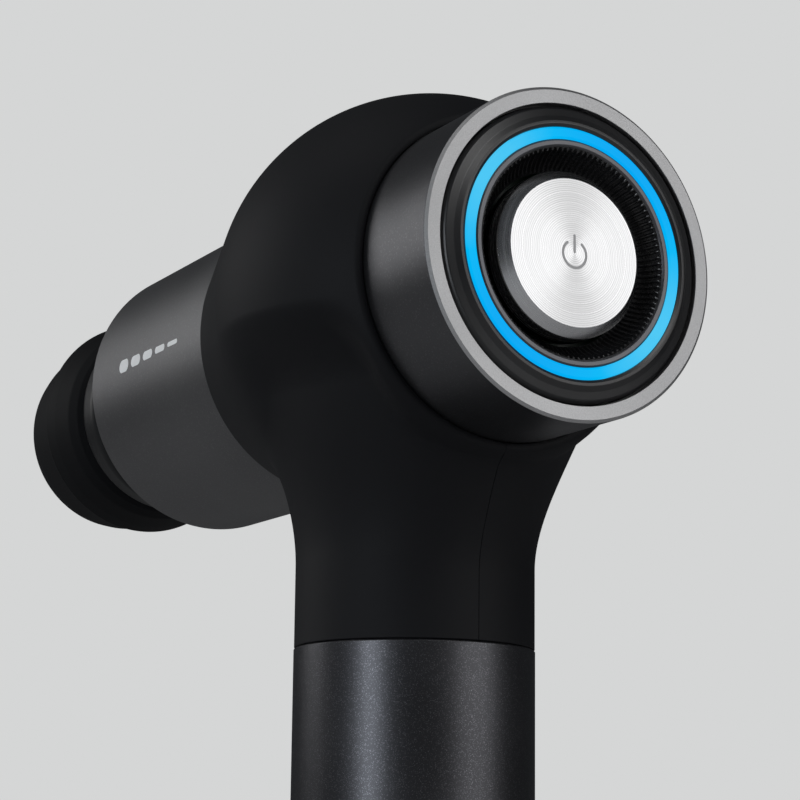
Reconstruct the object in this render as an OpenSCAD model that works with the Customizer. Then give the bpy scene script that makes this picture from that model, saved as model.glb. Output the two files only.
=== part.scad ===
// Percussion massage gun: round head with a rear power cap, front sleeve with a
// reciprocating massage head, and a straight tubular handle it can stand on.
// Frame: +Z up along the handle axis, origin at the centre of the base face,
// +X towards the massage head, -X towards the power button. Millimetres.

/* [Overall] */
// height of the head axis above the base face
axis_h = 211; // [190:1:240]
// handle outside diameter
handle_d = 45; // [38:0.5:52]
// height of the neck-to-handle seam above the base face
seam_h = 146.9; // [120:0.1:170]

/* [Housing] */
// radius of the round head
head_r = 41; // [36:0.5:48]
// position of the head's centre along the head axis
head_cx = -4.2; // [-12:0.1:0]
// front taper angle of the head
taper = 19.4; // [10:0.1:26]
// housing wall thickness
wall = 2.5; // [2:0.1:4]
// neck outside diameter
neck_d = 44.8; // [38:0.1:52]
// radius of the neck's flare into the head
flare_r = 46; // [30:1:60]
// front lip position
lip_front = 33.5; // [28:0.5:36]
// rear lip position
lip_rear = -31.2; // [-36:0.1:-26]

/* [Rear cap] */
// cap ring outside radius
cap_r = 29.5; // [26:0.1:32]
// rear face of the cap rim
cap_back = -51.7; // [-60:0.1:-44]
// inside radius of the flat rim
rim_in_r = 26.57; // [24:0.01:28]
// light ring outer radius
light_ro = 22.1; // [20:0.05:24]
// light ring inner radius
light_ri = 20.07; // [18:0.05:22]
// ribbed funnel outer radius
funnel_r = 18.65; // [16:0.05:20]
// ribs round the funnel
rib_count = 108; // [60:2:120]
// button radius
button_r = 14.8; // [12:0.1:17]
// button face radius
button_face_r = 13.07; // [10:0.01:15]
// button travel
button_travel = 0.8; // [0.5:0.1:1.5]

/* [Sleeve and drive] */
// sleeve outside radius
sleeve_r = 29.6; // [26:0.1:32]
// sleeve wall thickness
sleeve_wall = 1.6; // [1:0.1:3]
// front end of the sleeve
sleeve_front = 90.4; // [80:0.1:100]
// crank throw, half of the stroke
throw = 6; // [4:0.5:8]
// connecting rod length between pin centres
rod_len = 38; // [34:1:46]
// crank axis position along the head axis
crank_x = -4; // [-8:0.5:0]
// piston radius
piston_r = 10; // [8:0.1:12]
// socket radius for the massage head's stem
socket_r = 7; // [6:0.05:8]

/* [Massage head] */
// back edge radius of the cushion
cushion_r = 25.4; // [22:0.1:30]
// back edge position of the cushion
cushion_x = 129.5; // [120:0.1:140]
// front edge radius of the cushion
nose_r = 21.85; // [18:0.05:26]
// front edge position of the cushion
nose_x = 147.5; // [140:0.1:160]

/* [Battery] */
// battery cell diameter
cell_d = 18.3; // [18:0.1:18.6]
// battery cell length
cell_len = 65; // [64:0.1:66]

/* [Hidden] */
$fn = 96;
e = 0.01;
stroke = 2 * throw;
pin_x = crank_x + throw;            // crank pin centre, front dead centre
wrist_x = pin_x + rod_len;          // wrist pin centre
hr = handle_d / 2;
nr = neck_d / 2;
seam_z = seam_h - axis_h;           // below the head axis
base_z = -axis_h;
tan_x = head_cx + head_r * sin(taper);
tan_r = head_r * cos(taper);
// flare arc: tangent to the neck and to the round head
fl_x = nr + flare_r;
fl_z = -sqrt(pow(head_r + flare_r, 2) - pow(fl_x, 2));
fl_a = atan2(-fl_z, fl_x);

// ---- helpers -------------------------------------------------------------
module at_axis() translate([0, 0, axis_h]) children();
// solid of revolution about the head axis from [x, r] points
module lathe_x(p) rotate([0, 90, 0]) rotate_extrude() polygon([for (q = p) [q[1], q[0]]]);
// solid of revolution about the handle axis from [r, z] points
module lathe_z(p) rotate_extrude() polygon(p);
module cyl_x(x0, x1, r) translate([x0, 0, 0]) rotate([0, 90, 0]) cylinder(h = x1 - x0, r = r);
module tube_x(x0, x1, ro, ri) difference() { cyl_x(x0, x1, ro); cyl_x(x0 - 1, x1 + 1, ri); }
module cyl_y(y0, y1, r) translate([0, y0, 0]) rotate([-90, 0, 0]) cylinder(h = y1 - y0, r = r);
module tube_y(y0, y1, ro, ri) difference() { cyl_y(y0, y1, ro); cyl_y(y0 - 1, y1 + 1, ri); }
module tube_z(z0, z1, ro, ri) translate([0, 0, z0]) difference() {
  cylinder(h = z1 - z0, r = ro); translate([0, 0, -1]) cylinder(h = z1 - z0 + 2, r = ri); }
module at_crank() translate([crank_x, 0, 0]) children();

// ---- housing -------------------------------------------------------------
function arc(cx, cy, r, a0, a1, n) = [for (i = [0:n]) let (a = a0 + (a1 - a0) * i / n) [cx + r * cos(a), cy + r * sin(a)]];

lip_r = sqrt(pow(head_r, 2) - pow(lip_rear - head_cx, 2));
lip_a = 180 - asin(lip_r / head_r);
front_r = tan_r - (lip_front - tan_x) * tan(taper);

module housing_outer() {
  lathe_x(concat([[lip_rear, 0], [lip_rear, lip_r]],
    arc(head_cx, 0, head_r, lip_a - 1, 90 - taper, 22),
    [[lip_front, front_r], [lip_front, 0]]));
  lathe_z(concat([[0, seam_z + 0.1], [nr - 0.4, seam_z + 0.1], [nr, seam_z + 0.5]],
    [for (i = [0:14]) let (a = 180 - (fl_a) * i / 14) [fl_x + flare_r * cos(a), fl_z + flare_r * sin(a)]],
    [[0, -22]]));
}

in_r = head_r - wall;
floor_x = -25.6;
module housing_inner() {
  // main cavity between the rear floor and the sleeve seat
  lathe_x(concat([[floor_x, 0]],
    arc(head_cx, 0, in_r, 180 - acos(-(floor_x - head_cx) / in_r) , 90 - taper, 18),
    [[20.5, tan_r - wall - (20.5 - tan_x) * tan(taper)], [22, 27.5], [24, 27.5], [24, sleeve_r + 0.05],
     [lip_front + 1, sleeve_r + 0.05], [lip_front + 1, 0]]));
  // rear well for the cap ring and the opening in the floor behind it
  cyl_x(lip_rear - 5, -28, cap_r + 0.4);
  cyl_x(-29, -25, 27);
  // neck bore
  translate([0, 0, seam_z - 1]) cylinder(h = 40, r = 20.3);
}

module housing_half(s) difference() {
  intersection() {
    difference() { housing_outer(); housing_inner(); }
    translate([lip_rear, s > 0 ? 0.04 : -60.04, -90]) cube([120, 60, 150]);
  }
  // radial screw holes where the neck meets the coupling ring
  for (a = [45, 135, 225, 315]) rotate([0, 0, a]) translate([15, 0, seam_z + 6]) rotate([0, 90, 0]) cylinder(h = 6.6, r = 1.05, $fn = 32);
}
module bracket_posts() for (p = [[crank_x, 24], [crank_x, -24], [18, 14], [18, -14]])
  difference() {
    translate([p[0], 0, p[1]]) cyl_y(-30.5, -10.9, 2.8);
    translate([p[0], 0, p[1]]) cyl_y(-22, -10, 1.25);
  }

module housing_left() color([0.05, 0.05, 0.055]) at_axis() housing_half(1);
module housing_right() color([0.05, 0.05, 0.055]) at_axis() { housing_half(-1); bracket_posts(); }

// ---- rear cap ------------------------------------------------------------
module rear_cap_ring() color([0.3, 0.3, 0.32]) at_axis()
  lathe_x([[cap_back, rim_in_r], [cap_back, cap_r - 0.35], [cap_back + 0.35, cap_r], [-28.2, cap_r], [-28.2, 27.9],
    [cap_back + 1.6, 27.9], [cap_back + 1.6, rim_in_r]]);
module bezel_ring() color([0.12, 0.12, 0.13]) at_axis()
  lathe_x([[-51.1, 26.3], [-51.6, 25.9], [-52.2, 24.4], [-52.65, 23.3], [-52.7, 22.9], [-52.6, light_ro + 0.05],
    [-47.6, light_ro + 0.05], [-47.6, 26.3]]);
module light_ring() color([0.3, 0.8, 1]) at_axis()
  lathe_x([[-52.55, light_ro], [-52.7, light_ro - 0.4], [-52.7, light_ri + 0.4], [-52.55, light_ri], [-47.8, light_ri], [-47.8, light_ro]]);
module inner_trim_ring() color([0.35, 0.35, 0.36]) at_axis()
  lathe_x([[-52.5, light_ri - 0.05], [-52.55, light_ri - 0.3], [-52.55, funnel_r + 0.35], [-52.4, funnel_r + 0.05],
    [-47.8, funnel_r + 0.05], [-47.8, light_ri - 0.05]]);
module ribbed_funnel() color([0.04, 0.04, 0.045]) at_axis() difference() {
  lathe_x(concat([[-46.8, 15.15]], [for (i = [0:6]) let (a = 90 * i / 6) [-47.2 - 5 * (1 - cos(a)), 15.15 + 0.3 + 3.2 * sin(a)]], [[-46.8, funnel_r]]));
  // radial slots leave the fine ribs between them
  for (i = [0:rib_count / 3 - 1]) rotate([i * 1080 / rib_count, 0, 0]) translate([-49.5, 16.2, -0.25]) cube([1.2, 2, 0.5]);
}
module power_button() color([0.8, 0.8, 0.82]) at_axis() difference() {
  union() {
    lathe_x([[-52.3, 0], [-52.3, button_face_r], [-50.6, button_r], [-46, button_r], [-46, 0]]);
    cyl_x(-46.5, -43.5, 4);
  }
  // hollow behind the face
  tube_x(-50, -45, 13.2, 4);
}
module cap_carrier() color([0.06, 0.06, 0.07]) at_axis() difference() {
  lathe_x([[-50, 26.4], [-50, 27.85], [-28.3, 27.85], [-28.3, 0], [-30.5, 0], [-30.5, 25], [-38.2, 25], [-38.2, 26.4]]);
  // cable slot in the floor
  translate([-32, -8, -24]) cube([6, 16, 8]);
  for (a = [0, 120, 240]) rotate([a, 0, 0]) translate([0, 20, 0]) cyl_x(-33, -27, 1.3);
  // motor clearance and weight relief in the floor
  cyl_x(-33, -27, 12);
}
module carrier_screws() color([0.6, 0.6, 0.62]) at_axis() for (a = [0, 120, 240]) rotate([a, 0, 0]) translate([0, 20, 0]) {
  cyl_x(-32.4, -30.6, 2.3); cyl_x(-30.7, -26.2, 1.2); }
module led_board() color([0.1, 0.35, 0.2]) at_axis() {
  tube_x(-46.5, -45.2, 26.3, 16);
  for (i = [0:11]) rotate([i * 30 + 15, 0, 0]) translate([-47.4, 20.2, -0.9]) cube([0.95, 1.8, 1.8]);
}
module control_board() color([0.1, 0.35, 0.2]) at_axis() {
  cyl_x(-40, -38.4, 26.2);
  // driver transistors, processor and connector
  for (i = [-1, 0, 1]) translate([-38.5, i * 8 - 2.5, 8]) cube([2.2, 5, 6]);
  translate([-38.5, -3.5, -6]) cube([1.4, 7, 7]);
  translate([-38.5, 8, -14]) cube([4.6, 10, 5]);
}
module tact_switch() color([0.15, 0.15, 0.16]) at_axis() { translate([-41.7, -3, -3]) cube([1.65, 6, 6]); cyl_x(-42.3, -41.6, 1.7); }

// ---- motor and crank -----------------------------------------------------
module motor_bracket() color([0.62, 0.63, 0.65]) at_axis() difference() {
  union() {
    intersection() { at_crank() cyl_y(-10.8, -8.8, 28.4); translate([-25, -20, -40]) cube([47, 30, 80]); }
    at_crank() cyl_y(-25, -10, 6);
  }
  at_crank() cyl_y(-26, -8, 4.53);
  for (p = [[crank_x, 24], [crank_x, -24], [18, 14], [18, -14]]) translate([p[0], 0, p[1]]) cyl_y(-12, -8, 1.35);
  // notch that clears the piston at the back of its stroke
  translate([20.2, -12, -8]) cube([4, 4, 16]);
  // windows that pass the phase leads
  for (s = [-1, 1]) translate([crank_x, 0, 0]) rotate([0, s * 60, 0]) translate([-15, -12, -3]) cube([6, 4, 6]);
}
module bracket_screws() color([0.6, 0.6, 0.62]) at_axis() for (p = [[crank_x, 24], [crank_x, -24], [18, 14], [18, -14]])
  translate([p[0], 0, p[1]]) { cyl_y(-8.78, -7.2, 2.3); cyl_y(-21, -8.7, 1.2); }
module motor_bearings() color([0.7, 0.7, 0.72]) at_axis() at_crank() { tube_y(-25, -21.5, 4.5, 2.55); tube_y(-13.5, -10, 4.5, 2.55); }
module stator_core() color([0.45, 0.45, 0.47]) at_axis() at_crank() difference() {
  tube_y(-24.5, -14.5, 16.8, 6.05);
  for (i = [0:11]) rotate([0, i * 30, 0]) { translate([9, -25, -1.9]) cube([6.4, 11, 3.8]); translate([15, -25, -0.6]) cube([3, 11, 1.2]); }
}
module motor_windings() color([0.72, 0.4, 0.2]) at_axis() at_crank() for (i = [0:11]) rotate([0, i * 30, 0])
  translate([9.2, -25.8, -1.7]) cube([6, 12.6, 3.4]);
module rotor_bell() color([0.2, 0.2, 0.22]) at_axis() at_crank() difference() {
  // open cup, its closed end chamfered to clear the narrow lower rear of the housing
  rotate([90, 0, 0]) rotate_extrude() polygon([[0, 12], [20, 12], [20, 25.4], [18.6, 26.8], [16.5, 27.3], [0, 27.3]]);
  cyl_y(-26.1, -11, 15.8);
  cyl_y(-25.75, -11, 18.9);
  cyl_y(-30, -20, 2.5);
  for (i = [0:5]) rotate([0, i * 60, 0]) translate([11, 0, 0]) cyl_y(-29, -25, 2.8);
}
module rotor_magnets() color([0.5, 0.5, 0.5]) at_axis() at_crank() for (i = [0:13]) rotate([0, i * 360 / 14, 0])
  translate([0, -13.5, 0]) rotate([90, 0, 0]) rotate_extrude(angle = 22) translate([17.2, 0]) square([1.65, 12]);
module motor_shaft() color([0.75, 0.75, 0.77]) at_axis() at_crank() cyl_y(-28, -3.6, 2.5);
module crank_disc() color([0.55, 0.55, 0.57]) at_axis() at_crank() difference() {
  union() { cyl_y(-8.2, -3.4, 9.4); intersection() { cyl_y(-8.2, -3.4, 15); translate([-16, -9, -16]) cube([14, 6, 32]); } }
  cyl_y(-9, -3, 2.5);
  translate([throw, 0, 0]) cyl_y(-7, -3, 2);
}
module crank_pin() color([0.8, 0.8, 0.82]) at_axis() translate([pin_x, 0, 0]) cyl_y(-2.9, 2.9, 3);
module rod_bearing() color([0.7, 0.7, 0.72]) at_axis() translate([pin_x, 0, 0]) { tube_y(-2.5, 2.5, 4.4, 3); tube_y(-2.2, 2.2, 6.5, 4.4); tube_y(-2.5, 2.5, 8, 6.5); }
module connecting_rod() color([0.66, 0.67, 0.7]) at_axis() difference() {
  union() {
    translate([pin_x, 0, 0]) cyl_y(-2.6, 2.6, 10.6);
    translate([wrist_x, 0, 0]) cyl_y(-2.6, 2.6, 6.2);
    translate([pin_x + 9, -2.6, -4.5]) cube([rod_len - 13, 5.2, 9]);
  }
  translate([pin_x, 0, 0]) cyl_y(-4, 4, 8);
  translate([wrist_x, 0, 0]) cyl_y(-4, 4, 2.55);
  translate([pin_x + 13, 1.4, -2.6]) cube([rod_len - 22, 2, 5.2]);
}
module wrist_pin() color([0.8, 0.8, 0.82]) at_axis() translate([wrist_x, 0, 0]) cyl_y(-9.2, 9.2, 2.5);
module piston() color([0.75, 0.76, 0.78]) at_axis() difference() {
  cyl_x(wrist_x - 7, 102, piston_r);
  translate([wrist_x - 8, -3.2, -12]) cube([15, 6.4, 24]);
  translate([wrist_x, 0, 0]) cyl_y(-12, 12, 2.5);
  cyl_x(56, 79, 5.5);
  cyl_x(78, 103, socket_r);
}
module guide_bushing() color([0.7, 0.55, 0.3]) at_axis() tube_x(52.6, 85, 14, piston_r + 0.06);
module guide_housing() color([0.1, 0.1, 0.11]) at_axis() {
  tube_x(50, 86, 17.5, 14.05);
  difference() { tube_x(50, 52.5, 27.9, 14.05); for (i = [0:5]) rotate([i * 60, 0, 0]) translate([0, 22.5, 0]) cyl_x(49, 54, 2.6); }
}
module damper_rings() color([0.1, 0.1, 0.1]) at_axis() { tube_x(56, 62, 27.9, 17.55); tube_x(74, 80, 27.9, 17.55); }

// ---- sleeve front --------------------------------------------------------
module front_sleeve() color([0.28, 0.28, 0.29]) at_axis() difference() {
  lathe_x([[24.2, 0], [24.2, sleeve_r], [sleeve_front - 0.5, sleeve_r], [sleeve_front, sleeve_r - 0.5], [sleeve_front, 0]]);
  cyl_x(20, sleeve_front + 2, sleeve_r - sleeve_wall);
}
module nose_ring() color([0.05, 0.05, 0.055]) at_axis() lathe_x([[86.3, 14.3], [86.3, 27.9], [89.6, 27.9], [90.2, 27.2], [90.2, 17], [88.6, 14.3]]);
module front_wiper() color([0.07, 0.07, 0.07]) at_axis() lathe_x([[86.3, 10.35], [86.3, 14.2], [88.4, 14.2], [89.4, 11.2], [89.4, 10.35]]);

// ---- massage head --------------------------------------------------------
module head_core() color([0.06, 0.06, 0.065]) at_axis() difference() {
  lathe_x(concat([[84, 0], [84, socket_r - 0.45], [84.4, socket_r - 0.05], [104, socket_r - 0.05], [104, 17], [105.5, 19.5]],
    arc(111.4, 17.3, 5, 150, 20, 10), [[117.4, 18.4], [117.4, 0]]));
  // grooves that hold the stem rings
  for (x = [88, 95]) tube_x(x, x + 2, socket_r + 1, socket_r - 0.9);
}
module stem_rings() color([0.05, 0.05, 0.05]) at_axis() for (x = [88, 95])
  translate([x + 1, 0, 0]) rotate([0, 90, 0]) rotate_extrude() translate([socket_r - 0.5, 0]) circle(r = 0.4, $fn = 24);
module head_cushion() color([0.07, 0.07, 0.075]) at_axis()
  lathe_x(concat([[117.5, 0], [117.5, 18.8], [117.8, 21.6], [118.6, 22.5]],
    [[124, 24.1], [cushion_x - 1, 25.2], [cushion_x - 0.3, cushion_r], [cushion_x + 0.6, cushion_r - 0.5], [cushion_x + 1.1, cushion_r - 1.3],
     [cushion_x + 5, cushion_r - 1.6], [nose_x - 6, nose_r + 0.9], [nose_x - 2, nose_r + 0.35], [nose_x, nose_r - 0.6]],
    [for (i = [1:8]) let (a = 90 * i / 8) [nose_x + 5.5 * sin(a), (nose_r - 0.6) * cos(a)]]));

// ---- handle --------------------------------------------------------------
module coupling_ring() color([0.7, 0.7, 0.72]) at_axis() difference() {
  union() { tube_z(seam_z + 0.1, seam_z + 12, 20.25, 19); tube_z(seam_z - 12, seam_z - 0.2, 20.95, 19.95); tube_z(seam_z - 0.6, seam_z + 1.2, 20.25, 19); }
  for (a = [45, 135, 225, 315]) rotate([0, 0, a]) translate([15, 0, seam_z + 6]) rotate([0, 90, 0]) cylinder(h = 6.6, r = 1.05, $fn = 32);
}
module coupling_screws() color([0.6, 0.6, 0.62]) at_axis() for (a = [45, 135, 225, 315]) rotate([0, 0, a])
  translate([17.2, 0, seam_z + 6]) rotate([0, 90, 0]) { cylinder(h = 1.7, r = 1.9, $fn = 32); cylinder(h = 4.2, r = 1, $fn = 32); }
module handle_tube() color([0.25, 0.25, 0.27]) at_axis() lathe_z([[hr - 1.5, base_z + 8], [hr, base_z + 8], [hr, seam_z - 0.4], [hr - 0.4, seam_z], [hr - 1.5, seam_z]]);
module base_cap() color([0.06, 0.06, 0.065]) at_axis() difference() {
  union() {
    lathe_z([[0, base_z], [hr - 1.5, base_z], [hr - 0.5, base_z + 1], [hr - 0.5, base_z + 7.9], [0, base_z + 7.9]]);
    translate([0, 0, base_z + 7]) cylinder(h = 11, r = hr - 1.55);
  }
  translate([0, 0, base_z + 2]) cylinder(h = 6, r = hr - 3.1);
  translate([0, 0, base_z + 6]) cylinder(h = 13, r = 20);
  translate([-25, -4.6, base_z + 2.2]) cube([8, 9.2, 3.5]);
}
module charge_port() color([0.7, 0.7, 0.72]) at_axis() difference() {
  translate([-22.1, -4.45, base_z + 2.35]) cube([7.3, 8.9, 3.2]);
  translate([-23, -4.1, base_z + 2.7]) cube([7, 8.2, 2.5]);
}
module cell_ring() for (a = [90, 210, 330]) rotate([0, 0, a]) translate([(cell_d + 0.1) / sqrt(3), 0, 0]) children();
cells_top = seam_z - 4.2;
module battery_cells() color([0.15, 0.4, 0.65]) at_axis() for (k = [0, 1]) cell_ring()
  translate([0, 0, cells_top - cell_len - k * (cell_len + 2.4)]) cylinder(h = cell_len, r = cell_d / 2);
module holder(z0) difference() {
  translate([0, 0, z0]) cylinder(h = 2, r = 19.7);
  cell_ring() translate([0, 0, z0 - 1]) cylinder(h = 4, r = 5.5);
}
module upper_cell_holder() color([0.12, 0.12, 0.13]) at_axis() holder(cells_top + 0.2);
module middle_cell_holder() color([0.12, 0.12, 0.13]) at_axis() holder(cells_top - cell_len - 2.2);
module lower_cell_holder() color([0.12, 0.12, 0.13]) at_axis() holder(cells_top - 2 * cell_len - 4.6);
module cell_straps() color([0.8, 0.8, 0.8]) at_axis() for (z = [cells_top + 2.25, cells_top - 2 * cell_len - 4.85])
  for (a = [90, 210, 330]) rotate([0, 0, a]) translate([3, -3, z]) cube([13, 6, 0.2]);
module battery_board() color([0.1, 0.35, 0.2]) at_axis() {
  translate([0, 0, base_z + 5.65]) cylinder(h = 1.2, r = 18.5);
  translate([6, -3, base_z + 3.6]) cube([5, 6, 2.1]);
  translate([-4, 8, base_z + 3.8]) cube([8, 4, 1.9]);
}
module battery_leads() color([0.7, 0.1, 0.1]) at_axis() for (y = [-3.5, 3.5]) translate([-16.5, y, 0]) {
  translate([0, 0, cells_top + 2.5]) cylinder(h = -26 - cells_top - 2.5, r = 0.9, $fn = 32);
  translate([-6, 0, -26]) rotate([90, 0, 0]) rotate_extrude(angle = 90, $fn = 48) translate([6, 0]) circle(r = 0.9, $fn = 32);
  translate([-21.8, 0, -20]) rotate([0, 90, 0]) cylinder(h = 15.8, r = 0.9, $fn = 32);
}

housing_left();
housing_right();
rear_cap_ring();
bezel_ring();
light_ring();
inner_trim_ring();
ribbed_funnel();
power_button();
cap_carrier();
led_board();
control_board();
tact_switch();
carrier_screws();
motor_bracket();
bracket_screws();
motor_bearings();
stator_core();
motor_windings();
rotor_bell();
rotor_magnets();
motor_shaft();
crank_disc();
crank_pin();
rod_bearing();
connecting_rod();
wrist_pin();
piston();
guide_bushing();
guide_housing();
damper_rings();
front_sleeve();
nose_ring();
front_wiper();
head_core();
head_cushion();
stem_rings();
coupling_ring();
coupling_screws();
handle_tube();
base_cap();
charge_port();
battery_cells();
upper_cell_holder();
middle_cell_holder();
lower_cell_holder();
battery_board();
battery_leads();
cell_straps();
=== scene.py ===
import math

import bpy
import numpy as np
from mathutils import Matrix, Vector


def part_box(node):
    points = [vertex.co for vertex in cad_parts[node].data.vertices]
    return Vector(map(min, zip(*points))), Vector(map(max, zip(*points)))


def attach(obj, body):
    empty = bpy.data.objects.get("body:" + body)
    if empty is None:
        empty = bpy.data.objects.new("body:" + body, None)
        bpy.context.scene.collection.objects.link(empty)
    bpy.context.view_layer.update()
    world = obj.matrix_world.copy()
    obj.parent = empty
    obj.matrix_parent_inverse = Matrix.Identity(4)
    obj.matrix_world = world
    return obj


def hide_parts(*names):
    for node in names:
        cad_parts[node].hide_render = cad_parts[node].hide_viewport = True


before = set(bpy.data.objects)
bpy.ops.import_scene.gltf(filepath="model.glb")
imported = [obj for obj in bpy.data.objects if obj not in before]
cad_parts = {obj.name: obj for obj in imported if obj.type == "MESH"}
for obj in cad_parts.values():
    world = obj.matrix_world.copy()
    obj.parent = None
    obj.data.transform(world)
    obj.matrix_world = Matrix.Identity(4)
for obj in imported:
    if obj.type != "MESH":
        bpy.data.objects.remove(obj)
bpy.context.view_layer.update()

MM = 0.001


# ---------------------------------------------------------------- frame sizes
def span(node):
    """Lowest and highest corner of a CAD node in millimetres."""
    lo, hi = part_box(node)
    return np.array(lo) / MM, np.array(hi) / MM


cap_lo, cap_hi = span("rear_cap_ring")
H = float(cap_lo[2] + cap_hi[2]) / 2  # height of the head axis
CAP_R = float(cap_hi[2] - cap_lo[2]) / 2
CAP_X0, CAP_X1 = float(cap_lo[0]), float(cap_hi[0])
slv_lo, slv_hi = span("front_sleeve")
SLV_R = float(slv_hi[2] - slv_lo[2]) / 2
SLV_X0, SLV_X1 = float(slv_lo[0]), float(slv_hi[0])
han_lo, han_hi = span("handle_tube")
HAN_R = float(han_hi[0] - han_lo[0]) / 2
HAN_Z0, HAN_Z1 = float(han_lo[2]), float(han_hi[2])
led_lo, led_hi = span("light_ring")
LED_R = float(led_hi[2] - led_lo[2]) / 2
but_lo, but_hi = span("power_button")
BUT_R = float(but_hi[2] - but_lo[2]) / 2
BUT_X = float(but_lo[0])
trim_lo, trim_hi = span("inner_trim_ring")
TRIM_R = float(trim_hi[2] - trim_lo[2]) / 2
bez_lo, bez_hi = span("bezel_ring")
BEZ_R = float(bez_hi[2] - bez_lo[2]) / 2
hou_lo, hou_hi = span("housing_left")
LIP_X0, LIP_X1 = float(hou_lo[0]), float(hou_hi[0])
NECK_Z = float(hou_lo[2]) - H  # lower end of the neck, below the head axis


# ------------------------------------------------------------------ node kit
class Tree:
    """Small helper that adds nodes and links to a material's tree."""

    def __init__(self, name):
        self.mat = bpy.data.materials.new(name)
        self.mat.use_nodes = True
        self.t = self.mat.node_tree
        self.t.nodes.clear()
        self.out = self.t.nodes.new("ShaderNodeOutputMaterial")
        self.bsdf = self.t.nodes.new("ShaderNodeBsdfPrincipled")
        self.link(self.bsdf.outputs[0], self.out.inputs["Surface"])
        self.coord = self.t.nodes.new("ShaderNodeTexCoord").outputs["Object"]

    def link(self, a, b):
        self.t.links.new(a, b)

    def node(self, kind, **props):
        n = self.t.nodes.new(kind)
        for k, v in props.items():
            setattr(n, k, v)
        return n

    def noise(self, scale, detail=2.0, rough=0.5, vec=None):
        n = self.node("ShaderNodeTexNoise")
        n.inputs["Scale"].default_value = scale
        n.inputs["Detail"].default_value = detail
        n.inputs["Roughness"].default_value = rough
        self.link(vec or self.coord, n.inputs["Vector"])
        return n.outputs["Fac"]

    def stretch(self, sx, sy, sz):
        m = self.node("ShaderNodeMapping")
        m.inputs["Scale"].default_value = (sx, sy, sz)
        self.link(self.coord, m.inputs["Vector"])
        return m.outputs[0]

    def remap(self, fac, a, b, lo=0.3, hi=0.7):
        m = self.node("ShaderNodeMapRange")
        m.inputs["From Min"].default_value = lo
        m.inputs["From Max"].default_value = hi
        m.inputs["To Min"].default_value = a
        m.inputs["To Max"].default_value = b
        self.link(fac, m.inputs["Value"])
        return m.outputs[0]

    def ramp(self, fac, stops):
        r = self.node("ShaderNodeValToRGB")
        els = r.color_ramp.elements
        while len(els) < len(stops):
            els.new(0.5)
        for e, (p, c) in zip(els, stops):
            e.position = p
            e.color = (c[0], c[1], c[2], 1)
        self.link(fac, r.inputs[0])
        return r.outputs[0]

    def mix(self, fac, a, b):
        m = self.node("ShaderNodeMix", data_type="RGBA")
        self.link(fac, m.inputs[0])
        for sock, v in ((m.inputs[6], a), (m.inputs[7], b)):
            if isinstance(v, tuple):
                sock.default_value = (v[0], v[1], v[2], 1)
            else:
                self.link(v, sock)
        return m.outputs[2]

    def math(self, op, a, b=None, c=None):
        m = self.node("ShaderNodeMath", operation=op)
        for i, v in enumerate((a, b, c)):
            if v is None:
                continue
            if isinstance(v, (int, float)):
                m.inputs[i].default_value = v
            else:
                self.link(v, m.inputs[i])
        return m.outputs[0]

    def bump(self, height, strength, distance, normal=None):
        b = self.node("ShaderNodeBump")
        b.inputs["Strength"].default_value = strength
        b.inputs["Distance"].default_value = distance
        self.link(height, b.inputs["Height"])
        if normal is not None:
            self.link(normal, b.inputs["Normal"])
        return b.outputs[0]

    def set(self, **kw):
        names = {"metal": "Metallic", "ior": "IOR", "spec": "Specular IOR Level", "sheen": "Sheen Weight",
                 "sheen_rough": "Sheen Roughness", "coat": "Coat Weight", "coat_rough": "Coat Roughness",
                 "aniso": "Anisotropic", "aniso_rot": "Anisotropic Rotation", "emit": "Emission Strength",
                 "sss": "Subsurface Weight", "trans": "Transmission Weight", "alpha": "Alpha"}
        for k, v in kw.items():
            self.bsdf.inputs[names[k]].default_value = v
        return self


def lin(r, g, b):
    """sRGB bytes to linear colour."""
    f = lambda c: c / 12.92 if c <= 0.04045 else ((c + 0.055) / 1.055) ** 2.4
    return tuple(f(v / 255) for v in (r, g, b))


def surface(name, dark, light, rough, metal=0.0, patch=45.0, grain=2600.0, bump=0.1, depth=0.00004, **kw):
    """Finish with slow colour drift, fine grain in colour and roughness, and a fine bump."""
    t = Tree(name)
    big = t.noise(patch, 3)
    fine = t.noise(grain, 2, 0.6)
    both = t.math("ADD", t.math("MULTIPLY", big, 0.6), t.math("MULTIPLY", fine, 0.4))
    t.link(t.ramp(both, [(0.34, dark), (0.66, light)]), t.bsdf.inputs["Base Color"])
    t.link(t.remap(both, rough[0], rough[1]), t.bsdf.inputs["Roughness"])
    t.link(t.bump(fine, bump, depth), t.bsdf.inputs["Normal"])
    t.set(metal=metal, **kw)
    return t.mat


# ------------------------------------------------------------- the materials
def m_soft_touch():
    t = Tree("soft_touch_black")
    big = t.noise(28, 3)
    fine = t.noise(5200, 2, 0.6)
    t.link(t.ramp(big, [(0.35, (0.0034, 0.0036, 0.0050)), (0.65, (0.0045, 0.0047, 0.0062))]), t.bsdf.inputs["Base Color"])
    both = t.math("ADD", t.math("MULTIPLY", big, 0.5), t.math("MULTIPLY", fine, 0.5))
    t.link(t.remap(both, 0.60, 0.68), t.bsdf.inputs["Roughness"])
    t.link(t.bump(fine, 0.10, 0.00003), t.bsdf.inputs["Normal"])
    return t.set(spec=0.22).mat


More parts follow.
